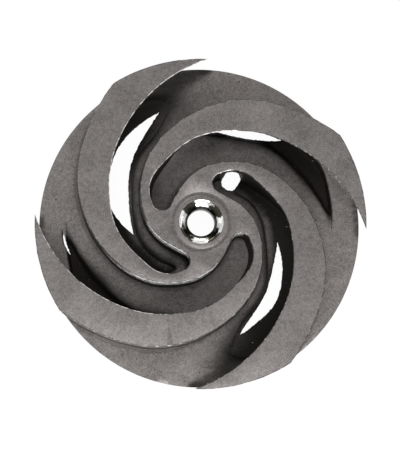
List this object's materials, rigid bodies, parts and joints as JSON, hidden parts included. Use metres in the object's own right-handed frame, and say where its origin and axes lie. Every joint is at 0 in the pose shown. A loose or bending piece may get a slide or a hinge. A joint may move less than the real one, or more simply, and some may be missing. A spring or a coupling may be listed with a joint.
{
  "type": "pump impeller",
  "caption": "Semi-open centrifugal pump impeller with curved vanes on a back disc, central countersunk screw hole and keyed shaft bore.",
  "frame": {"origin": "centre of the rear hub face, on the shaft axis", "axes": "+Z along the shaft axis towards the vane faces and the suction side; the first vane's tip lies 3 degrees clockwise of +X"},
  "size_m": [0.165, 0.165, 0.035],
  "materials": {
    "cast_iron": "bare grey iron, sandy as cast in the channels, turned flat on the vane faces, bright countersink"
  },
  "bodies": {
    "root": {"impeller": "cast_iron"}
  },
  "joints": []
}
